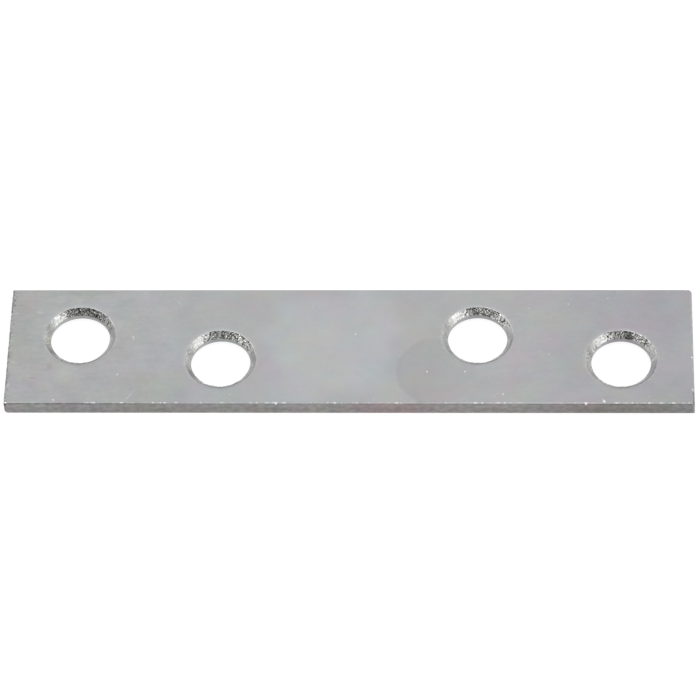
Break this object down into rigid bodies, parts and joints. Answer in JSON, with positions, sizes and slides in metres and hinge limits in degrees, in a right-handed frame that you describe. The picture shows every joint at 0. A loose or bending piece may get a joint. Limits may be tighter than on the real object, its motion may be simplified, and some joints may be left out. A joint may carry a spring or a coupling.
{
  "type": "mending plate",
  "caption": "Flat straight zinc-plated steel plate with staggered countersunk screw holes, for joining or reinforcing two pieces of wood end to end.",
  "frame": {"origin": "centre of the flat back face, the face that lies on the work", "axes": "+X along the plate's length, +Y across its width, +Z out of the countersunk front face"},
  "size_m": [0.0762, 0.0158, 0.0018],
  "materials": {
    "zinc_plated_steel": "satin bright zinc plating over cold-rolled strip, with faint iridescent mottling; countersinks cut rough and glittering"
  },
  "bodies": {
    "root": {"plate": "zinc_plated_steel"}
  },
  "joints": []
}
